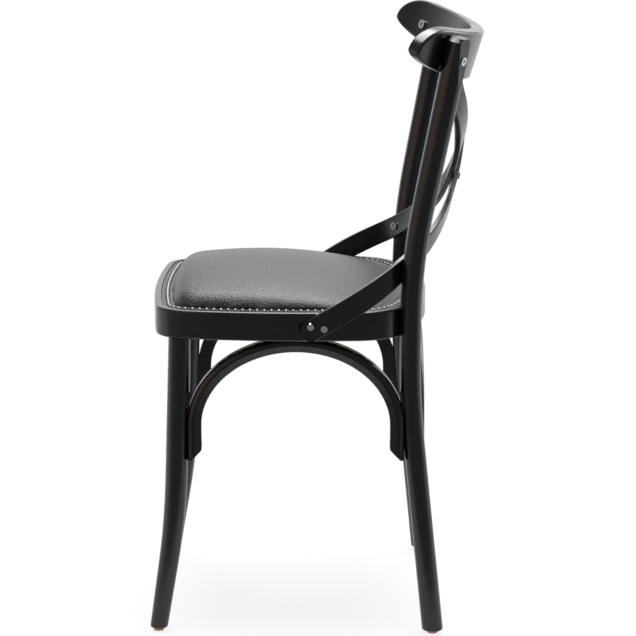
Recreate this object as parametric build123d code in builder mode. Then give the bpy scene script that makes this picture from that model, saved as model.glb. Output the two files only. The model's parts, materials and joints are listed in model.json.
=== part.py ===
from build123d import *
import os
from math import atan2, cos, radians, sin, sqrt, tan

# Bentwood side chair with a crossed back: millimetres, +Z up, the sitter faces -Y and their left is +X.
# The origin lies on the floor, under the middle of the chair's box.

# Seat ring, a bent frame whose outline is four shallow arcs with rounded corners
seat_height = 471.0
ring_height = 41.0
ring_width = 42.0
ring_half_width = 212.0
ring_widest_y = -5.5
ring_front_y = -236.5
ring_back_y = 159.0
ring_front_bow = 1400.0
ring_side_bow = 950.0
ring_back_bow = 390.0
ring_front_corner = 48.0
ring_rear_corner = 75.0
ring_rounding = 3.0

# Seat panel in the ring's rebate, the pad on it and the nails round the pad
rebate_inset = 9.5
rebate_depth = 16.5
panel_gap = 0.8
panel_thickness = 12.0
border_thickness = 3.0
nail_inset = 18.5
nail_diameter = 7.2
nail_height = 2.3
nail_pitch = 10.2
pad_inset = 22.5
pad_corner = 40.0
pad_rise = 39.5
pad_crown_y = -105.5
pad_crown_radius = 1000.0
pad_slope = 22.0
pad_shoulder = 26.0

# Rear posts, round rods bent once above and once below the seat
post_x = 174.0
post_notch = 3.0
post_radius = 15.0
post_top_radius = 17.0
post_foot_radius = 15.0
post_top_z = 853.0
post_top_chamfer = 5.0
upper_bend_z = 445.0
upper_bend_radius = 820.0
upper_bend_angle = 12.1
upper_bend_turn = 25.0
lower_bend_z = 395.0
lower_bend_radius = 950.0
lower_bend_angle = 7.3
lower_bend_turn = 37.0

# Front legs, round rods with a sabre curve in their lower half
leg_x = 176.0
leg_setback = 43.0
leg_radius = 15.8
leg_foot_radius = 12.5
leg_turn = 17.4
leg_lean = 2.05
leg_bend_z = 230.0
leg_bend_radius = 1000.0
leg_bend_angle = 7.2
leg_taper_z = 200.0
tenon_radius = 10.0
tenon_length = 26.0

# Every bent rod: the spacing of its sections and the rounding at its foot
rod_step = 55.0
foot_rounding = 2.5

# Glides under the feet
glide_radius = 7.5
glide_height = 4.5
glide_rounding = 1.0
glide_pin_radius = 1.6
glide_pin_length = 16.0

# Crest rail, a board bent to an arc that leans back, with rounded tongue ends
crest_bow = 44.9
crest_drop = 42.0
crest_lean = 17.0
crest_height = 71.0
crest_thickness = 20.0
crest_overhang = 66.9
crest_tip_drop = 2.5
crest_tip_length = 65.0
crest_rounding = 4.0
crest_seat_depth = 2.5

# Back slats, flat strips that run from the ring's side to the top of the opposite post
slat_width = 31.0
slat_thickness = 8.0
slat_lap_offset = 3.0
slat_lap_rise = 20.0
slat_lap_overhang = 21.0
slat_low_rise = 54.0
slat_low_turn = 44.0
slat_cross_share = 0.395
slat_cross_bow = 46.1
slat_lean = 14.5
slat_low_power = 2
slat_high_power = 3
slat_high_drop = 14.0
slat_high_turn = 70.0
slat_end_run = 24.0
slat_tip = 8.0
slat_seat_depth = 1.5
slat_rounding = 1.5

# Arched braces under the seat
arch_depth = 20.0
arch_width = 20.0
arch_rounding = 3.0
arch_shoulder = 8.0
arch_groove = 1.2
arch_bevel = 4.0
arch_flatten = 26.0
arch_foot = 24.0
arch_chamfer = 15.0
arch_set_out = 5.0
arch_sink = 1.5

# Fasteners
bolt_radius = 3.0
bolt_head_radius = 6.0
bolt_head_height = 3.0
bolt_grip = 18.0
bolt_flat_depth = 3.5
bolt_flat_tilt = 7.0
head_recess = 1.5
nut_flange_radius = 6.8
nut_flange_height = 2.6
nut_barrel_radius = 4.6
nut_barrel_length = 15.0
socket_width = 5.0
socket_depth = 2.0
screw_radius = 2.2
screw_head_radius = 5.6
screw_head_height = 2.4
screw_grip = 18.0
screw_sink = 3.0
slot_width = 1.8
slot_depth = 1.4

# Clearances
joint_gap = 0.2
bore_gap = 0.25

ring_bottom = seat_height - ring_height
leg_y = ring_front_y + leg_setback
rebate_floor = seat_height - rebate_depth
panel_bottom = rebate_floor + joint_gap
panel_top = panel_bottom + panel_thickness
border_bottom = panel_top + joint_gap
border_top = border_bottom + border_thickness
pad_top = border_bottom + pad_rise
slat_offset = joint_gap + slat_thickness / 2
crest_mid_z = post_top_z - crest_drop
slat_low_z = seat_height + slat_low_rise
slat_high_z = crest_mid_z - slat_high_drop
slat_cross_z = slat_low_z + slat_cross_share * (slat_high_z - slat_low_z)
sides = (("left", 1), ("right", -1))

os.makedirs("parts", exist_ok=True)


def save(piece, label):
    """Label a finished piece and write it as its own file."""
    piece.label = label
    export_step(piece, f"parts/{label}.step")


def flip(vector, sign):
    """The same vector on the chair's left (sign 1) or right (sign -1) side."""
    return Vector(sign * vector.X, vector.Y, vector.Z)


# Seat outline and the lines of the bent rods

def seat_outline(plane, inset, front_corner, rear_corner):
    """The ring's outline on a plane, drawn in by an inset."""
    with BuildSketch(plane, mode=Mode.PRIVATE) as outline:
        with Locations((0, ring_front_y + ring_front_bow)):
            Circle(ring_front_bow - inset)
        for sign in (1, -1):
            with Locations((sign * (ring_half_width - ring_side_bow), ring_widest_y)):
                Circle(ring_side_bow - inset, mode=Mode.INTERSECT)
        with Locations((0, ring_back_y - ring_back_bow)):
            Circle(ring_back_bow - inset, mode=Mode.INTERSECT)
        corners = outline.vertices().sort_by(Axis.Y)
        fillet(corners[:2], front_corner)
        fillet(outline.vertices().sort_by(Axis.Y)[-2:], rear_corner)
    return outline.sketch


def ring_outline(height, inset=0.0):
    """The outline parallel to the ring's own, at a height."""
    plane = Plane.XY.offset(height)
    return seat_outline(plane, inset, ring_front_corner - inset, ring_rear_corner - inset)


def ring_side_x(y):
    """Outer face of the ring's side at a depth y."""
    return ring_half_width - ring_side_bow + sqrt(ring_side_bow**2 - (y - ring_widest_y) ** 2)


def bend_run(rise, bend_radius, angle):
    """Sideways run of a rod that leaves a straight line through one bend, after a rise."""
    bend_rise = bend_radius * sin(radians(angle))
    if rise < bend_rise:
        return bend_radius - sqrt(bend_radius**2 - rise**2)
    return bend_radius * (1 - cos(radians(angle))) + (rise - bend_rise) * tan(radians(angle))


post_y = ring_back_y - ring_back_bow + sqrt((ring_back_bow + post_radius - post_notch) ** 2 - post_x**2)


def post_axis(z):
    """Centre line of the left rear post at a height."""
    if z > upper_bend_z:
        run = bend_run(z - upper_bend_z, upper_bend_radius, upper_bend_angle)
        turn = radians(upper_bend_turn)
    else:
        run = bend_run(max(lower_bend_z - z, 0), lower_bend_radius, lower_bend_angle)
        turn = radians(lower_bend_turn)
    return Vector(post_x + run * sin(turn), post_y + run * cos(turn), z)


def post_radius_at(z):
    """Radius of a rear post at a height: it swells towards the top and thins towards the foot."""
    if z > upper_bend_z:
        share = (z - upper_bend_z) / (post_top_z - upper_bend_z)
        return post_radius + share * (post_top_radius - post_radius)
    share = max(lower_bend_z - z, 0) / lower_bend_z
    return post_radius + share * (post_foot_radius - post_radius)


def leg_axis(z):
    """Centre line of the left front leg at a height."""
    lean = radians(leg_lean)
    full = radians(leg_lean + leg_bend_angle)
    bend_drop = leg_bend_radius * (sin(full) - sin(lean))
    run = (ring_bottom - max(z, leg_bend_z)) * tan(lean)
    drop = max(leg_bend_z - z, 0)
    if drop > bend_drop:
        run += leg_bend_radius * (cos(lean) - cos(full)) + (drop - bend_drop) * tan(full)
    elif drop > 0:
        reach = leg_bend_radius * sin(lean) + drop
        run += leg_bend_radius * cos(lean) - sqrt(leg_bend_radius**2 - reach**2)
    turn = radians(leg_turn)
    return Vector(leg_x + run * sin(turn), leg_y - run * cos(turn), z)


def leg_radius_at(z):
    """Radius of a front leg at a height."""
    share = max(leg_taper_z - z, 0) / leg_taper_z
    return leg_radius + share * (leg_foot_radius - leg_radius)


def direction_at(axis, z):
    """Upward direction of a rod's centre line at a height."""
    return (axis(z + 0.5) - axis(z - 0.5)).normalized()


def square_to(axis, z, turn):
    """Direction square to a rod at a height, turned from +Y towards +X."""
    level = Vector(sin(radians(turn)), cos(radians(turn)), 0)
    along = direction_at(axis, z)
    return (level - along * level.dot(along)).normalized()


def disc(plane, radius):
    """A round face on a plane."""
    with BuildSketch(plane, mode=Mode.PRIVATE) as face:
        Circle(radius)
    return face.sketch


def rod(axis, radius_at, top, sign):
    """Loft a bent, tapering rod from the floor to a height, through evenly spaced round sections."""
    sections = []
    count = round(top / rod_step)
    for index in range(count + 1):
        z = top * index / count
        along = flip(direction_at(axis, z), sign)
        plane = Plane(origin=flip(axis(z), sign), x_dir=(0, 1, 0), z_dir=along)
        sections.append(disc(plane, radius_at(z)))
    loft(sections)


def fit_arches():
    """Cut a rod flat where an arch's foot lies on it, and bore it for the screw."""
    for plane in arch_flats:
        with BuildSketch(plane, mode=Mode.PRIVATE) as flat:
            with Locations((arch_flatten / 2, 0)):
                Rectangle(4 * arch_foot + arch_flatten, arch_width + 2 * joint_gap)
        extrude(flat.sketch, amount=arch_depth / 2, mode=Mode.SUBTRACT)
    for plane in arch_feet:
        bore(plane, screw_radius + bore_gap, arch_screw_length + bore_gap)


def bore(plane, radius, depth):
    """Cut a round hole down from a plane."""
    extrude(disc(plane, radius), amount=-depth, mode=Mode.SUBTRACT)


# Places that several pieces share

crest_up = Vector(0, sin(radians(crest_lean)), cos(radians(crest_lean)))
crest_back = Vector(0, cos(radians(crest_lean)), -sin(radians(crest_lean)))
crest_middle = Vector(0, post_axis(crest_mid_z).Y + crest_bow, crest_mid_z)

# Height at which a post's straight upper run passes the crest's middle
post_slope = (post_axis(post_top_z) - post_axis(post_top_z - 1)).normalized()
crest_reach = (crest_middle - post_axis(post_top_z)).dot(crest_up) / post_slope.dot(crest_up)
crest_post = post_axis(post_top_z) + post_slope * crest_reach

# The crest's outer radius makes its face meet the seat cut in each post
crest_seat = post_radius_at(crest_post.Z) - crest_seat_depth + joint_gap
crest_span = crest_post.X
crest_sweep = (crest_middle - crest_post).dot(crest_back)
crest_radius = (crest_span**2 + crest_sweep**2 - crest_seat**2) / (2 * (crest_seat + crest_sweep))
crest_axis = crest_middle - crest_back * crest_radius
crest_plane = Plane(origin=crest_axis, x_dir=(1, 0, 0), z_dir=crest_up)
crest_turn = atan2(crest_span, crest_radius - crest_sweep)
crest_normal = Vector(sin(crest_turn), 0, 0) + crest_back * cos(crest_turn)

# Where each slat lies on its own post and on the opposite one, and where the slats cross
slat_cross_y = post_axis(slat_cross_z).Y + slat_cross_bow
low_normal = square_to(post_axis, slat_low_z, slat_low_turn)
low_depth = post_radius_at(slat_low_z) - slat_seat_depth
low_point = post_axis(slat_low_z) - low_normal * (low_depth + slat_offset)
high_normal = square_to(post_axis, slat_high_z, slat_high_turn)
high_depth = post_radius_at(slat_high_z) - slat_seat_depth
high_point = post_axis(slat_high_z) - high_normal * (high_depth + slat_offset)
lap_y = ring_widest_y + slat_lap_offset
lap_z = ring_bottom + slat_lap_rise
lap_point = Vector(ring_side_x(lap_y) + slat_offset, lap_y, lap_z)
lap_run = Vector(0, low_point.Y - lap_y, slat_low_z - lap_z).normalized()


def slat_climb(start, end):
    """Slope and curl of a slat's climb, so that it passes both contacts and the crossing."""
    low = (start.Z - slat_cross_z) / start.X
    high = (end.Z - slat_cross_z) / end.X
    curl = (low + high) / (start.X + end.X)
    return curl * start.X - low, curl


def slat_stations(sign):
    """Points and outward normals along a slat that starts on the side of the given sign."""
    layer = sign * (slat_offset + joint_gap)
    lean = tan(radians(slat_lean))
    exit_rise = seat_height + slat_width / 2 / lap_run.Y - lap_z
    exit_y = lap_y + exit_rise * lap_run.Y / lap_run.Z
    exit_point = Vector(ring_side_x(exit_y) + slat_offset, exit_y, lap_z + exit_rise)
    exit_normal = Vector(ring_side_bow, exit_y - ring_widest_y, 0).normalized()
    outward = Vector(1, 0, 0)
    stations = [
        (lap_point - lap_run * slat_lap_overhang, outward),
        (lap_point + lap_run * slat_lap_overhang, outward),
        (exit_point, exit_normal),
        (low_point, low_normal),
    ]
    far_point = flip(high_point, -1)
    rise, curl = slat_climb(low_point, high_point)
    for share in (0.6, 0.2, 0, -0.2, -0.5, -0.75):
        end_point = low_point if share > 0 else far_point
        power = slat_low_power if share > 0 else slat_high_power
        x = share * abs(end_point.X)
        z = slat_cross_z - rise * x + curl * x**2
        sweep_back = slat_cross_y + lean * (end_point.Z - slat_cross_z) - end_point.Y
        y = slat_cross_y + lean * (z - slat_cross_z) - sweep_back * abs(share) ** power
        slope = power * sweep_back * abs(share) ** (power - 1) / end_point.X
        normal = Vector(slope, 1, -lean).normalized()
        stations.append((Vector(x, y, z) + normal * layer, normal))
    stations.append((far_point, flip(high_normal, -1)))
    end_run = (far_point - stations[-2][0]).normalized()
    stations.append((far_point + end_run * slat_end_run, flip(high_normal, -1)))
    return [(flip(point, sign), flip(normal, sign)) for point, normal in stations]


def slat_blank(sign, gap=0.0):
    """A slat before it is trimmed and bored, or the room it needs with a gap all round."""
    stations = slat_stations(sign)
    with BuildLine(mode=Mode.PRIVATE) as run:
        Spline([point for point, normal in stations])
    sections = []
    for point, normal in stations:
        along = run.edge().tangent_at(point)
        across = (normal - along * normal.dot(along)).normalized()
        plane = Plane(origin=point, x_dir=across, z_dir=along)
        with BuildSketch(plane, mode=Mode.PRIVATE) as section:
            RectangleRounded(slat_thickness + 2 * gap, slat_width + 2 * gap, slat_rounding + gap)
        sections.append(section.sketch)
    with BuildPart(mode=Mode.PRIVATE) as blank:
        loft(sections)
    return blank.part


# Fasteners, each on a plane whose origin is its seat and whose normal points out of the head


def cut_socket(plane):
    """Cut a hexagon socket down from a head's top."""
    with BuildSketch(plane, mode=Mode.PRIVATE) as socket:
        RegularPolygon(socket_width / 2, 6, major_radius=False)
    extrude(socket.sketch, amount=-socket_depth, mode=Mode.SUBTRACT)


def add_bolt(plane, length):
    """A socket bolt: flat head, hexagon socket and plain shank."""
    extrude(disc(plane, bolt_head_radius), amount=bolt_head_height)
    extrude(disc(plane, bolt_radius), amount=-length)
    cut_socket(plane.offset(bolt_head_height))


def add_screw(plane, length):
    """A pan screw with a crossed slot."""
    extrude(disc(plane, screw_head_radius), amount=screw_head_height, taper=20)
    extrude(disc(plane, screw_radius), amount=-length)
    with BuildSketch(plane.offset(screw_head_height), mode=Mode.PRIVATE) as slot:
        Rectangle(screw_head_radius, slot_width)
        Rectangle(slot_width, screw_head_radius)
    extrude(slot.sketch, amount=-slot_depth, mode=Mode.SUBTRACT)


def seat_on(point, outward):
    """A fastener's plane at a point, with its head towards the given direction."""
    return Plane(origin=point, z_dir=outward)


crest_bolt_seat = post_radius_at(crest_post.Z) - bolt_flat_depth
crest_bolt_length = crest_bolt_seat - head_recess + crest_seat + crest_thickness / 2


def crest_bolt_plane(sign):
    """Seat of a crest bolt's head, sunk in the post's outer flat."""
    normal = flip(crest_normal, sign)
    return seat_on(flip(crest_post, sign) + normal * (crest_bolt_seat - head_recess), normal)


def crest_nut_plane(sign):
    """Seat of a sleeve nut's flange on the crest's inner face."""
    normal = flip(crest_normal, sign)
    return seat_on(flip(crest_post, sign) - normal * (crest_seat + crest_thickness + joint_gap), -normal)


def low_bolt_plane(sign):
    """Seat of the bolt that holds a slat to its own post."""
    normal = flip(low_normal, sign)
    return seat_on(flip(low_point, sign) - normal * slat_offset, -normal)


crest_low_edge = crest_middle - crest_up * (crest_height / 2)
crest_edge_rise = crest_height / 2 - crest_tip_drop
high_bolt_z = slat_high_z - slat_width / 3


def high_bolt_plane(sign):
    """Seat of the bolt that holds a slat to the opposite post, named for that post's side."""
    normal = flip(high_normal, sign)
    centre = flip(post_axis(high_bolt_z), sign)
    return seat_on(centre - normal * (high_depth + slat_offset + slat_offset), -normal)


def lap_screw_planes(sign):
    """Seats of the two screws through a slat's end into the ring."""
    outward = Vector(sign, 0, 0)
    spots = [lap_point + Vector(slat_offset, -7, 3), lap_point + Vector(slat_offset, 12, 0)]
    return [seat_on(flip(spot, sign), outward) for spot in spots]


cross_normal = Vector(0, 1, -tan(radians(slat_lean))).normalized()
cross_point = Vector(0, slat_cross_y, slat_cross_z)
cross_plane = seat_on(cross_point + cross_normal * (2 * slat_offset + 2 * joint_gap), cross_normal)
cross_length = 2 * slat_offset + 2 * slat_thickness / 4

# A post's bolt comes from inside the ring, square to the ring's back
post_bolt_normal = Vector(post_x, post_y - ring_back_y + ring_back_bow, 0).normalized()
post_bolt_z = ring_bottom + (ring_height - rebate_depth) / 2


def post_bolt_plane(sign):
    """Seat of a post bolt's head on the ring's inner wall."""
    normal = flip(post_bolt_normal, sign)
    centre = Vector(0, ring_back_y - ring_back_bow, post_bolt_z)
    return seat_on(centre + normal * (ring_back_bow - ring_width - joint_gap), -normal)


post_bolt_length = ring_width + bolt_grip

# Arched braces: each springs from two rods and touches the ring's underside at its crown


class Arch:
    """A brace in an upright plane, between two rods that face each other."""

    def __init__(self, start, end, set_out):
        self.radius = (end - start).length / 2 - joint_gap + arch_sink
        self.along = (end - start).normalized()
        self.outward = self.along.cross(Vector(0, 0, 1))
        self.spring_z = ring_bottom - joint_gap - self.radius
        middle = (start + end) * 0.5 + self.outward * set_out
        self.plane = Plane(
            origin=(middle.X, middle.Y, self.spring_z), x_dir=self.along, z_dir=self.outward
        )

    def foot_plane(self, hand):
        """Seat of the screw in one foot, sunk in the arch's inner face."""
        depth = self.radius - arch_depth + screw_sink
        return seat_on(self.plane.from_local_coords((hand * depth, 0, 0)), self.along * -hand)

    def crown_plane(self):
        """Seat of the screw in the crown, sunk from below."""
        depth = self.radius - arch_depth + screw_sink
        return seat_on(self.plane.from_local_coords((0, depth, 0)), Vector(0, 0, -1))

    def rod_flat(self, hand):
        """Where a rod is cut flat for one foot."""
        origin = self.plane.from_local_coords((hand * (self.radius + joint_gap), 0, 0))
        return Plane(origin=origin, x_dir=(0, 0, 1), z_dir=self.along * -hand)


arch_screw_length = arch_depth - screw_sink + screw_grip


def spring_height(half_span):
    """Height at which an arch of a half span springs, with its crown on the ring's underside."""
    return ring_bottom - half_span


side_spring = spring_height((post_y - leg_y) / 2 - post_radius)
side_leg = leg_axis(side_spring)
side_post = post_axis(side_spring)
side_x = (side_leg.X + side_post.X) / 2
front_spring = spring_height(leg_x - leg_radius)
front_leg = leg_axis(front_spring)
front_reach = front_leg.X - leg_radius_at(front_spring)
rear_spring = spring_height(post_x - post_radius)
rear_post = post_axis(rear_spring)
rear_reach = rear_post.X - post_radius_at(rear_spring)

arches = {
    "front_arch": Arch(Vector(-front_reach, front_leg.Y), Vector(front_reach, front_leg.Y), arch_set_out),
    "rear_arch": Arch(Vector(rear_reach, rear_post.Y), Vector(-rear_reach, rear_post.Y), arch_set_out),
}
side_front = side_leg.Y + leg_radius_at(side_spring)
side_rear = side_post.Y - post_radius_at(side_spring)
for side, sign in sides:
    ends = (Vector(sign * side_x, side_front), Vector(sign * side_x, side_rear))
    arches[f"side_arch_{side}"] = Arch(*ends[::sign], arch_set_out)

arch_feet = [arch.foot_plane(hand) for arch in arches.values() for hand in (1, -1)]
arch_flats = [arch.rod_flat(hand) for arch in arches.values() for hand in (1, -1)]
arch_crowns = [arch.crown_plane() for arch in arches.values()]

# Screws from below, through the ring's ledge, into the panel
panel_screw_inset = (rebate_inset + ring_width) / 2 + screw_head_radius
panel_screw_y = ring_widest_y - ring_front_corner
panel_screw_length = ring_height - rebate_depth + panel_thickness / 2
panel_screws = [
    seat_on(Vector(sign * (ring_side_x(y) - panel_screw_inset), y, ring_bottom - joint_gap), Vector(0, 0, -1))
    for sign in (1, -1)
    for y in (panel_screw_y - ring_rear_corner, ring_widest_y + ring_rear_corner)
]

# Room that the slats take from the ring and the posts

slat_room = [slat_blank(sign, joint_gap) for side, sign in sides]

# Seat ring

with BuildPart() as seat_ring:
    add(ring_outline(ring_bottom))
    extrude(amount=ring_height)
    fillet(seat_ring.edges().filter_by(Plane.XY), ring_rounding)
    add(ring_outline(ring_bottom, ring_width))
    extrude(amount=ring_height, mode=Mode.SUBTRACT)
    add(ring_outline(rebate_floor, rebate_inset))
    extrude(amount=rebate_depth, mode=Mode.SUBTRACT)
    for side, sign in sides:
        mortise = seat_on(Vector(sign * leg_x, leg_y, ring_bottom), Vector(0, 0, -1))
        bore(mortise, tenon_radius + bore_gap, tenon_length)
        plane = post_bolt_plane(sign)
        bore(plane, bolt_radius + bore_gap, post_bolt_length)
        bore(plane.offset(bolt_head_height), bolt_head_radius + bore_gap, bolt_head_height + joint_gap)
        for plane in lap_screw_planes(sign):
            bore(plane, screw_radius + bore_gap, slat_thickness + screw_grip + bore_gap)
    add(slat_room, mode=Mode.SUBTRACT)
    for plane in arch_crowns:
        bore(plane, screw_radius + bore_gap, arch_screw_length + bore_gap)
    for plane in panel_screws:
        bore(plane, screw_radius + bore_gap, ring_height)
save(seat_ring.part, "seat_ring")

# Seat panel

with BuildPart() as seat_panel:
    add(ring_outline(panel_bottom, rebate_inset + panel_gap))
    extrude(amount=panel_thickness)
    for plane in panel_screws:
        bore(plane, screw_radius + bore_gap, panel_screw_length + bore_gap)
save(seat_panel.part, "seat_panel")

# Seat cushion: a thin border under the nails and a crowned pad inside them

with BuildPart() as pad:
    add(seat_outline(Plane.XY.offset(border_bottom), pad_inset, pad_corner, pad_corner))
    extrude(amount=1.5 * pad_rise, taper=pad_slope)
    with Locations((0, pad_crown_y, pad_top - pad_crown_radius)):
        Sphere(pad_crown_radius, mode=Mode.INTERSECT)
    fillet(pad.faces().sort_by(Axis.Z)[-1].edges(), pad_shoulder)

with BuildPart() as seat_cushion:
    add(ring_outline(border_bottom, rebate_inset + panel_gap))
    extrude(amount=border_thickness)
    add(pad.part)
save(seat_cushion.part, "seat_cushion")

# Nails, evenly spaced round the border

nail_ball = (nail_diameter**2 / 4 + nail_height**2) / (2 * nail_height)
with BuildPart() as nail:
    with Locations((0, 0, nail_height - nail_ball)):
        Sphere(nail_ball)
    split(bisect_by=Plane.XY, keep=Keep.TOP)

nail_line = ring_outline(border_top + joint_gap, nail_inset).face().outer_wire()
nail_count = round(nail_line.length / nail_pitch)
nail_spots = [nail_line @ (index / nail_count) for index in range(nail_count)]
with BuildPart() as seat_nails:
    with Locations(*nail_spots):
        add(nail.part)
save(seat_nails.part, "seat_nails")

# Front legs

leg_top = ring_bottom - joint_gap
for side, sign in sides:
    with BuildPart() as leg:
        rod(leg_axis, leg_radius_at, leg_top + leg_radius, sign)
        split(bisect_by=Plane.XY.offset(leg_top), keep=Keep.BOTTOM)
        split(bisect_by=Plane.XY.offset(glide_height), keep=Keep.TOP)
        fillet(leg.edges().group_by(Axis.Z)[0], foot_rounding)
        with BuildSketch(Plane(origin=(sign * leg_x, leg_y, leg_top))):
            Circle(tenon_radius)
        extrude(amount=tenon_length - joint_gap)
        foot = flip(leg_axis(glide_height), sign)
        bore(seat_on(foot, Vector(0, 0, -1)), glide_pin_radius + bore_gap, glide_pin_length + bore_gap)
        fit_arches()
    save(leg.part, f"front_leg_{side}")

# Rear posts

for side, sign in sides:
    with BuildPart() as post:
        rod(post_axis, post_radius_at, post_top_z, sign)
        chamfer(post.edges().group_by(Axis.Z)[-1], post_top_chamfer)
        split(bisect_by=Plane.XY.offset(glide_height), keep=Keep.TOP)
        fillet(post.edges().group_by(Axis.Z)[0], foot_rounding)
        foot = flip(post_axis(glide_height), sign)
        bore(seat_on(foot, Vector(0, 0, -1)), glide_pin_radius + bore_gap, glide_pin_length + bore_gap)
        fit_arches()
        bore(post_bolt_plane(sign), bolt_radius + bore_gap, post_bolt_length + bore_gap)
        for plane in (low_bolt_plane(sign), high_bolt_plane(sign)):
            bore(plane, bolt_radius + bore_gap, slat_thickness + bolt_grip + bore_gap)
        # Notch over the seat ring
        add(ring_outline(ring_bottom - joint_gap, -joint_gap))
        extrude(amount=ring_height + 2 * joint_gap, mode=Mode.SUBTRACT)
        # Hollow for the crest's outer face
        with BuildSketch(crest_plane):
            Circle(crest_radius + joint_gap)
        extrude(amount=crest_height / 2 + joint_gap, both=True, mode=Mode.SUBTRACT)
        # Housings for the slats and a flat for the crest bolt's head
        add(slat_room, mode=Mode.SUBTRACT)
        plane = crest_bolt_plane(sign)
        flat_normal = plane.z_dir + Vector(0, 0, tan(radians(bolt_flat_tilt)))
        with BuildSketch(seat_on(plane.origin + plane.z_dir * head_recess, flat_normal)):
            Rectangle(8 * post_top_radius, 8 * post_top_radius)
        extrude(amount=2 * post_top_radius, mode=Mode.SUBTRACT)
        bore(plane.offset(post_top_radius), bolt_head_radius + bore_gap, post_top_radius)
        bore(plane, bolt_radius + bore_gap, 2 * post_top_radius)
    save(post.part, f"rear_post_{side}")

# Crest rail: half of it is cut from a bent blank by the outline of its tongue, then mirrored

tip_turn = crest_turn + crest_overhang / crest_radius
tongue_turn = (crest_turn + tip_turn) / 2
tongue_normal = Vector(sin(tongue_turn), 0, 0) + crest_back * cos(tongue_turn)
tongue_along = Vector(cos(tongue_turn), 0, 0) - crest_back * sin(tongue_turn)
tongue_plane = Plane(
    origin=crest_axis + tongue_normal * crest_radius, x_dir=tongue_along, z_dir=tongue_along.cross(crest_up)
)
tongue_tip = crest_radius * sin(tip_turn - tongue_turn)
tongue_middle = -crest_radius * sin(tongue_turn)
tongue_start = tongue_middle + crest_thickness
half_height = crest_height / 2

with BuildPart() as crest_half:
    with BuildSketch(crest_plane):
        Circle(crest_radius)
        Circle(crest_radius - crest_thickness, mode=Mode.SUBTRACT)
        with Locations((crest_radius, crest_radius)):
            Rectangle(2 * crest_radius, 2 * crest_radius, mode=Mode.INTERSECT)
    extrude(amount=crest_height, both=True)
    with BuildSketch(tongue_plane):
        with BuildLine():
            Polyline(
                (tongue_tip - crest_tip_length, half_height),
                (tongue_middle - half_height, half_height),
                (tongue_middle - half_height, -half_height),
                (tongue_start, -half_height),
            )
            EllipticalCenterArc(
                (tongue_start, -crest_tip_drop),
                tongue_tip - tongue_start,
                crest_edge_rise,
                270,
                arc_size=90,
            )
            EllipticalCenterArc(
                (tongue_tip - crest_tip_length, -crest_tip_drop),
                crest_tip_length,
                half_height + crest_tip_drop,
                0,
                arc_size=90,
            )
        make_face()
    extrude(amount=crest_radius / 2, both=True, mode=Mode.INTERSECT)

with BuildPart() as crest_rail:
    add(crest_half.part)
    mirror(about=Plane.YZ)
    fillet(crest_rail.edges().filter_by(GeomType.LINE, reverse=True), crest_rounding)
    for side, sign in sides:
        bore(crest_bolt_plane(sign), bolt_radius + bore_gap, crest_bolt_length + crest_thickness)
        bore(crest_nut_plane(sign), nut_barrel_radius + bore_gap, nut_barrel_length + bore_gap)
save(crest_rail.part, "crest_rail")

# Back slats

trim_plane = Plane(origin=crest_low_edge - crest_up * joint_gap, z_dir=crest_up)
for side, sign in sides:
    with BuildPart() as slat:
        add(slat_blank(sign))
        split(bisect_by=trim_plane, keep=Keep.BOTTOM)
        # Upper end, cut along the post just past its middle
        past = flip(high_normal.cross(direction_at(post_axis, slat_high_z)), -sign)
        end = flip(post_axis(slat_high_z), -sign) + past * slat_tip
        split(bisect_by=Plane(origin=end, z_dir=past), keep=Keep.BOTTOM)
        # Rounded lower end
        with BuildSketch(Plane(origin=flip(lap_point, sign), x_dir=lap_run, z_dir=(1, 0, 0))):
            with Locations((-slat_lap_overhang, 0)):
                Rectangle(slat_width, 2 * slat_width)
            with Locations((slat_width / 2 - slat_lap_overhang, 0)):
                Circle(slat_width / 2, mode=Mode.SUBTRACT)
        extrude(amount=slat_width, both=True, mode=Mode.SUBTRACT)
        for plane in (low_bolt_plane(sign), high_bolt_plane(-sign)):
            bore(plane.offset(slat_thickness), bolt_radius + bore_gap, 3 * slat_thickness)
            bore(plane.offset(slat_thickness), bolt_head_radius + bore_gap, slat_thickness + joint_gap)
        for plane in lap_screw_planes(sign):
            bore(plane.offset(slat_thickness), screw_radius + bore_gap, 3 * slat_thickness)
        bore(cross_plane.offset(slat_thickness), screw_radius + bore_gap, 4 * slat_thickness)
    save(slat.part, f"back_slat_{side}")

# Arched braces

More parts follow.
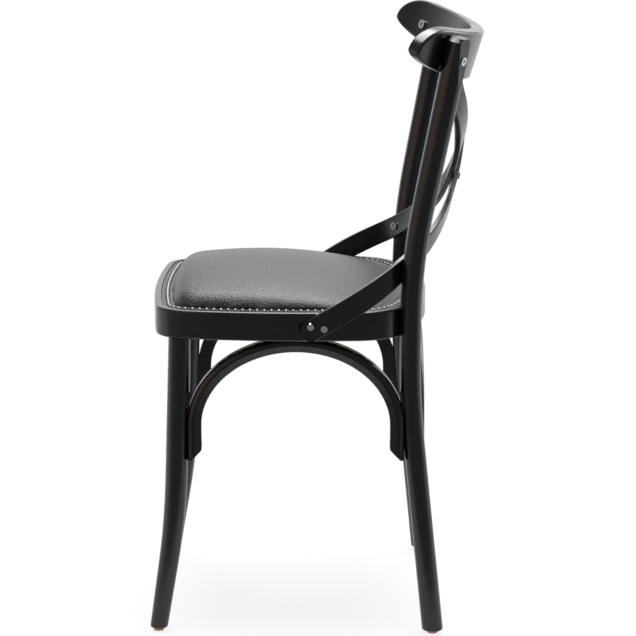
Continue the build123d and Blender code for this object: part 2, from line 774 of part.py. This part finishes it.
for name, arch in arches.items():
    with BuildPart() as brace:
        centre_radius = arch.radius - arch_depth / 2
        bend_rise = centre_radius - arch_flatten
        with BuildLine(arch.plane) as curve:
            Line((centre_radius, -arch_foot), (centre_radius, arch_flatten))
            EllipticalCenterArc((0, arch_flatten), centre_radius, bend_rise, 0, arc_size=180)
            Line((-centre_radius, arch_flatten), (-centre_radius, -arch_foot))
        start = arch.plane.from_local_coords((centre_radius, -arch_foot, 0))
        with BuildSketch(Plane(origin=start, x_dir=arch.along, z_dir=(0, 0, 1))) as section:
            Rectangle(arch_depth, arch_width)
            outer = section.vertices().sort_by(Axis.X).sort_by(Axis.Y)
            fillet(outer[1], arch_shoulder)
            fillet(outer[2:], arch_rounding)
            with BuildLine():
                Polyline(
                    (0, -arch_width / 2),
                    (-arch_depth / 2, -arch_width / 2),
                    (-arch_depth / 2, arch_bevel - arch_width / 2),
                    close=True,
                )
            make_face(mode=Mode.SUBTRACT)
            with Locations((arch_groove, -arch_width / 2)):
                Circle(arch_groove, mode=Mode.SUBTRACT)
        sweep(path=curve.line)
        # Inner corners of the feet are cut away
        with BuildSketch(arch.plane):
            for hand in (1, -1):
                inner = hand * (arch.radius - arch_depth)
                with BuildLine():
                    Polyline(
                        (inner, -arch_foot),
                        (inner + hand * arch_chamfer, -arch_foot),
                        (inner, arch_chamfer - arch_foot),
                        close=True,
                    )
                make_face()
        extrude(amount=arch_width, both=True, mode=Mode.SUBTRACT)
        for plane in (arch.foot_plane(1), arch.foot_plane(-1), arch.crown_plane()):
            bore(plane.offset(arch_depth), screw_radius + bore_gap, 3 * arch_depth)
            bore(plane.offset(arch_depth), screw_head_radius + bore_gap, arch_depth + joint_gap)
    save(brace.part, name)

# Glides

for side, sign in sides:
    for place, axis in (("front", leg_axis), ("rear", post_axis)):
        foot = flip(axis(glide_height), sign)
        with BuildPart() as glide:
            with BuildSketch(Plane(origin=(foot.X, foot.Y, 0))):
                Circle(glide_radius)
            extrude(amount=glide_height)
            fillet(glide.edges().group_by(Axis.Z)[0], glide_rounding)
            with BuildSketch(Plane(origin=foot)):
                Circle(glide_pin_radius)
            extrude(amount=glide_pin_length)
        save(glide.part, f"glide_{place}_{side}")

# Bolts, nuts and screws, one group of like pieces to a node

with BuildPart() as crest_bolts:
    for side, sign in sides:
        add_bolt(crest_bolt_plane(sign), crest_bolt_length)
save(crest_bolts.part, "crest_bolts")

with BuildPart() as crest_nuts:
    for side, sign in sides:
        plane = crest_nut_plane(sign)
        with BuildSketch(plane):
            Circle(nut_flange_radius)
        extrude(amount=nut_flange_height)
        with BuildSketch(plane):
            Circle(nut_barrel_radius)
        extrude(amount=-nut_barrel_length)
        bore(plane, bolt_radius + bore_gap, nut_barrel_length)
        cut_socket(plane.offset(nut_flange_height))
save(crest_nuts.part, "crest_nuts")

with BuildPart() as slat_lower_bolts:
    for side, sign in sides:
        add_bolt(low_bolt_plane(sign), slat_thickness + bolt_grip)
save(slat_lower_bolts.part, "slat_lower_bolts")

with BuildPart() as slat_upper_bolts:
    for side, sign in sides:
        add_bolt(high_bolt_plane(sign), slat_thickness + bolt_grip)
save(slat_upper_bolts.part, "slat_upper_bolts")

with BuildPart() as slat_seat_screws:
    for side, sign in sides:
        for plane in lap_screw_planes(sign):
            add_screw(plane, slat_thickness + screw_grip)
save(slat_seat_screws.part, "slat_seat_screws")

with BuildPart() as slat_cross_screw:
    add_screw(cross_plane, cross_length)
save(slat_cross_screw.part, "slat_cross_screw")

with BuildPart() as post_bolts:
    for side, sign in sides:
        add_bolt(post_bolt_plane(sign), post_bolt_length)
save(post_bolts.part, "post_bolts")

with BuildPart() as arch_leg_screws:
    for plane in arch_feet:
        add_screw(plane, arch_screw_length)
save(arch_leg_screws.part, "arch_leg_screws")

with BuildPart() as arch_seat_screws:
    for plane in arch_crowns:
        add_screw(plane, arch_screw_length)
save(arch_seat_screws.part, "arch_seat_screws")

with BuildPart() as panel_screw_group:
    for plane in panel_screws:
        add_screw(plane, panel_screw_length)
save(panel_screw_group.part, "panel_screws")
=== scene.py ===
import json
import math

import bmesh
import bpy
import numpy as np
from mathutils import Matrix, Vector


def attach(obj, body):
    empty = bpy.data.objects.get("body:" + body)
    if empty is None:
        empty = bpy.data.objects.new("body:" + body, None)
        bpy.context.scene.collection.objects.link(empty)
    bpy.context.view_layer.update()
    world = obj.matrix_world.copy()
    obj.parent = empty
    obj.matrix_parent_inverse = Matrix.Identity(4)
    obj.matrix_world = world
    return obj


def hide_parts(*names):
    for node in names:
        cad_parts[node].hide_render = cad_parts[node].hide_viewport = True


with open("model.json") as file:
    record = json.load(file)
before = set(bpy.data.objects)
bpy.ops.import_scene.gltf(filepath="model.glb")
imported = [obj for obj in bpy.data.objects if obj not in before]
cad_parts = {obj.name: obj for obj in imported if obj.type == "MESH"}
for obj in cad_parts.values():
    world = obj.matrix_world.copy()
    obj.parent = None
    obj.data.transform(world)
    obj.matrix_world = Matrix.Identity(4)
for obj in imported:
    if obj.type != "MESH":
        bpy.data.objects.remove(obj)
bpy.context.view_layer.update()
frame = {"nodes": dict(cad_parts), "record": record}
scene = bpy.context.scene
nodes = frame["nodes"]


class Sock:
    """A shader value that takes plain arithmetic."""

    def __init__(self, graph, socket):
        self.graph = graph
        self.socket = socket

    def maths(self, operation, other):
        return self.graph.node("ShaderNodeMath", {0: self, 1: other}, operation=operation)

    def __add__(self, other):
        return self.maths("ADD", other)

    def __mul__(self, other):
        return self.maths("MULTIPLY", other)

    __radd__ = __add__
    __rmul__ = __mul__


class Graph:
    """A node tree that one method adds nodes to."""

    def __init__(self, tree, coordinates):
        self.tree = tree
        self.place = self.node("ShaderNodeTexCoord", {}, coordinates)

    def node(self, kind, inputs, output=0, **settings):
        made = self.tree.nodes.new(kind)
        for key, value in settings.items():
            setattr(made, key, value)
        for key, value in inputs.items():
            if isinstance(value, Sock):
                self.tree.links.new(value.socket, made.inputs[key])
            else:
                made.inputs[key].default_value = value
        return Sock(self, made.outputs[output])

    def result(self, owner):
        return Sock(self, self.tree.nodes[owner].outputs[0])

    def feed(self, owner, name, value):
        self.tree.links.new(value.socket, self.tree.nodes[owner].inputs[name])

    def ramp(self, value, low, high, start=0.0, end=1.0):
        inputs = {"Value": value, "From Min": start, "From Max": end, "To Min": low, "To Max": high}
        return self.node("ShaderNodeMapRange", inputs)

    def ray(self, name):
        return self.node("ShaderNodeLightPath", {}, name)

    def show_white(self, owner, lit, kind, seen):
        """White to the rays that see it, and the lit shader to all others."""
        white = self.node(kind, {"Color": (1, 1, 1, 1), "Strength": 1})
        self.feed(owner, "Surface", self.node("ShaderNodeMixShader", {0: seen, 1: lit, 2: white}))


class Finish(Graph):
    """A procedural material: constants on the shader, and nodes for what varies over the surface."""

    shader = "Principled BSDF"

    def __init__(self, name, colour, roughness=0.5, metallic=0.0):
        self.material = bpy.data.materials.new(name)
        self.material.use_nodes = True
        super().__init__(self.material.node_tree, "Object")
        inputs = self.tree.nodes[self.shader].inputs
        inputs["Base Color"].default_value = (*colour, 1)
        inputs["Roughness"].default_value = roughness
        inputs["Metallic"].default_value = metallic

    def noise(self, scale, detail=2.0, stretch=(1, 1, 1)):
        where = self.node("ShaderNodeMapping", {"Vector": self.place, "Scale": stretch})
        return self.node("ShaderNodeTexNoise", {"Vector": where, "Scale": scale, "Detail": detail})

    def uneven(self, pattern, low, high, start=0.3, end=0.7):
        """A roughness that goes from low to high with a pattern."""
        self.feed(self.shader, "Roughness", self.ramp(pattern, low, high, start, end))

    def bump(self, height, strength, distance):
        inputs = {"Height": height, "Strength": strength, "Distance": distance}
        self.feed(self.shader, "Normal", self.node("ShaderNodeBump", inputs))

    def tint(self, value, dark, light):
        inputs = {"Factor": value, 6: (*dark, 1), 7: (*light, 1)}
        self.feed(self.shader, "Base Color", self.node("ShaderNodeMix", inputs, 2, data_type="RGBA"))


# Finishes

lacquer = Finish("black lacquer", (0.006, 0.006, 0.0065))
lacquer.uneven(lacquer.noise(60, 3), 0.2, 0.28)
lacquer.bump(lacquer.noise(260, 2, (1, 1, 0.12)), 0.03, 0.0006)

cover = Finish("black cover", (0.012, 0.012, 0.013))
pebble = cover.node("ShaderNodeTexVoronoi", {"Vector": cover.place, "Scale": 520.0})
grain = cover.ramp(pebble, 0, 1, 0.0, 0.75)
cover.uneven(grain, 0.34, 0.42, 0.0, 1.0)
cover.bump(grain + cover.noise(240) * 0.4, 0.7, 0.0006)

bright = Finish("bright nails", (0.13, 0.127, 0.123), metallic=1.0)
bright.uneven(bright.noise(120), 0.3, 0.42)

zinc = Finish("zinc steel", (0.62, 0.62, 0.63), metallic=1.0)
zinc.uneven(zinc.noise(300), 0.12, 0.2)

copper = Finish("copper glides", (0.36, 0.16, 0.09), metallic=1.0)
copper.uneven(copper.noise(200), 0.32, 0.5)

oxide = Finish("black steel", (0.02, 0.02, 0.02), roughness=0.45, metallic=1.0)

plywood = Finish("plywood", (0.55, 0.4, 0.24), roughness=0.6)
plywood.tint(plywood.noise(18, 4, (1, 0.06, 6)), (0.42, 0.29, 0.16), (0.62, 0.46, 0.29))

finishes = {
    "black_lacquer": lacquer,
    "black_cover": cover,
    "bright_nails": bright,
    "zinc_steel": zinc,
    "copper_glides": copper,
    "black_steel": oxide,
    "plywood": plywood,
}


def dress(obj, finish):
    obj.data.materials.clear()
    obj.data.materials.append(finish.material)


for row in frame["record"]["subparts"]:
    dress(nodes[row["node"]], finishes[row["material_slot"]])

# Seat pad and its border

border_top = 0.4699
border_lift = 0.0002
pad_lift = 0.0003
pad_sink = 0.0025
pad_voxel = 0.0045
pad_tuck = 4
pad_softening = 10
cover_pressure = 4
cover_steps = 20
cover_evening = 40
pad_swell = 0.002


def new_object(name, data):
    obj = bpy.data.objects.new(name, data)
    scene.collection.objects.link(obj)
    return obj


def cut_cushion(height, keep_above):
    """The part of the CAD cushion above or below a height, closed along the cut."""
    shell = bmesh.new()
    shell.from_mesh(nodes["seat_cushion"].data)
    bmesh.ops.remove_doubles(shell, verts=shell.verts[:], dist=1e-5)
    cut = bmesh.ops.bisect_plane(
        shell,
        geom=shell.verts[:] + shell.edges[:] + shell.faces[:],
        plane_co=(0, 0, height),
        plane_no=(0, 0, 1),
        clear_inner=keep_above,
        clear_outer=not keep_above,
    )
    rim = [item for item in cut["geom_cut"] if isinstance(item, bmesh.types.BMEdge)]
    bmesh.ops.edgeloop_fill(shell, edges=rim)
    bmesh.ops.recalc_face_normals(shell, faces=shell.faces[:])
    mesh = bpy.data.meshes.new("cushion part")
    shell.to_mesh(mesh)
    shell.free()
    return mesh


def evaluated_mesh(obj):
    graph = bpy.context.evaluated_depsgraph_get()
    return bpy.data.meshes.new_from_object(obj.evaluated_get(graph))


def coordinates(mesh):
    flat = np.empty(3 * len(mesh.vertices))
    mesh.vertices.foreach_get("co", flat)
    return flat.reshape(-1, 3)


def evened(values, edges, rounds, free):
    """Values on a mesh's points, averaged with their neighbours' over some rounds where they are free."""
    count = 1 + np.bincount(edges.ravel(), minlength=len(values))[:, None]
    for _ in range(rounds):
        total = values.copy()
        np.add.at(total, edges[:, 0], values[edges[:, 1]])
        np.add.at(total, edges[:, 1], values[edges[:, 0]])
        values = np.where(free[:, None], total / count, values)
    return values


def remeshed_pad():
    """The CAD cushion above its border, with its foot sunk into the border and its faces made even."""
    pad = new_object("seat_pad", cut_cushion(border_top + pad_lift, True))
    for point in pad.data.vertices:
        if point.co.z < border_top + pad_sink:
            point.co.z -= pad_sink
    remesh = pad.modifiers.new("even", "REMESH")
    remesh.mode = "VOXEL"
    remesh.voxel_size = pad_voxel
    pad.data = evaluated_mesh(pad)
    pad.modifiers.clear()
    return pad


def swelling(pad, shape, edges, free):
    """How far pressure under the cover moves each point, capped and evened, with the foot held."""
    pad.data.vertices.foreach_set("co", shape.ravel())
    held = pad.vertex_groups.new(name="held")
    held.add([int(index) for index in np.flatnonzero(~free)], 1.0, "REPLACE")
    cloth = pad.modifiers.new("cover", "CLOTH")
    cloth.settings.use_pressure = True
    cloth.settings.uniform_pressure_force = cover_pressure
    cloth.settings.vertex_group_mass = "held"
    cloth.settings.effector_weights.gravity = 0
    for step in range(1, cover_steps + 1):
        scene.frame_set(step)
    move = coordinates(evaluated_mesh(pad)) - shape
    pad.modifiers.clear()
    scene.frame_set(1)
    length = np.linalg.norm(move, axis=1, keepdims=True)
    move *= np.minimum(1, pad_swell / np.maximum(length, 1e-9))
    return evened(move, edges, cover_evening, free)


def make_pad():
    """The pad, as a cover blown up a little over foam."""
    pad = remeshed_pad()
    start = coordinates(pad.data)
    edges = np.array([edge.vertices[:] for edge in pad.data.edges])
    free = start[:, 2] > border_top + pad_sink
    shape = evened(start, edges, pad_tuck, np.ones(len(start), bool))
    shape = evened(shape, edges, pad_softening, free)
    shape = shape + swelling(pad, shape, edges, free)
    pad.data.vertices.foreach_set("co", shape.ravel())
    pad.data.polygons.foreach_set("use_smooth", [True] * len(pad.data.polygons))
    finer = pad.modifiers.new("finer", "SUBSURF")
    finer.levels = 1
    finer.render_levels = 1
    return pad


pad = make_pad()
border = new_object("seat_border", cut_cushion(border_top + border_lift, False))
for piece in (pad, border):
    dress(piece, cover)
    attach(piece, "root")
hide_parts("seat_cushion")

# Floor: pale paper, shown white except for a faint shadow near the chair

floor_half = 4
floor_edge = 0.55
shadow_start = 0.2
shadow_end = 0.6
shadow_white = 0.8

floor = new_object("floor", bpy.data.meshes.new("floor"))
sheet = bmesh.new()
bmesh.ops.create_grid(sheet, x_segments=1, y_segments=1, size=floor_half)
bmesh.ops.translate(sheet, vec=(floor_edge - floor_half, 0, 0), verts=sheet.verts[:])
sheet.to_mesh(floor.data)
sheet.free()
paper = Finish("floor", (0.82, 0.82, 0.82), roughness=0.9)
dress(floor, paper)

seen = paper.ray("Is Camera Ray").maths("MAXIMUM", paper.ray("Is Glossy Ray"))
from_chair = paper.node("ShaderNodeVectorMath", {0: paper.place}, "Value", operation="LENGTH")
whiteness = paper.ramp(from_chair, shadow_white, 1.0, shadow_start, shadow_end)
paper.show_white("Material Output", paper.result(paper.shader), "ShaderNodeEmission", seen * whiteness)

# Room: white to the camera, bright across the chair from the camera and dim beside and behind the camera

bright_side = 1.3
dim_side = 0.24
bright_until = -0.95
dim_from = -0.2

scene.world = bpy.data.worlds.new("studio")
scene.world.use_nodes = True
room = Graph(scene.world.node_tree, "Generated")
room.tree.nodes["Background"].inputs["Color"].default_value = (0.95, 0.98, 1.0, 1)
across = room.node("ShaderNodeSeparateXYZ", {0: room.place}, "X")
room.feed("Background", "Strength", room.ramp(across, bright_side, dim_side, bright_until, dim_from))
room.show_white("World Output", room.result("Background"), "ShaderNodeBackground", room.ray("Is Camera Ray"))

# Soft studio lights


def softbox(name, place, target, width, height, power, colour=(1, 1, 1)):
    lamp = bpy.data.lights.new(name, "AREA")
    lamp.shape = "RECTANGLE"
    lamp.size = width
    lamp.size_y = height
    lamp.energy = power
    lamp.color = colour
    obj = new_object(name, lamp)
    obj.location = place
    obj.rotation_mode = "QUATERNION"
    obj.rotation_quaternion = (Vector(target) - Vector(place)).to_track_quat("-Z", "Y")


softbox("overhead", (-0.4, 0, 2.6), (0, 0, 0.4), width=1.4, height=2.4, power=112)
softbox("behind", (-1.2, 2.4, 1.6), (0, 0.1, 0.6), width=1.4, height=2.0, power=40)
softbox("warm", (1.5, -2.2, 0.9), (0, 0, 0.5), width=3.2, height=1.8, power=12, colour=(1, 0.55, 0.3))

# Camera at the photograph's place

camera_place = (3.649, -0.0094, 1.216)
camera_lens = 143.2
pitch = math.radians(12.339)
yaw = math.radians(0.172)

camera = new_object("camera", bpy.data.cameras.new("camera"))
camera.data.sensor_width = 36
camera.data.lens = camera_lens
camera.location = camera_place
ahead = Vector((-math.cos(pitch) * math.cos(yaw), math.cos(pitch) * math.sin(yaw), -math.sin(pitch)))
camera.rotation_mode = "QUATERNION"
camera.rotation_quaternion = ahead.to_track_quat("-Z", "Y")
scene.camera = camera
scene.view_settings.view_transform = "Standard"
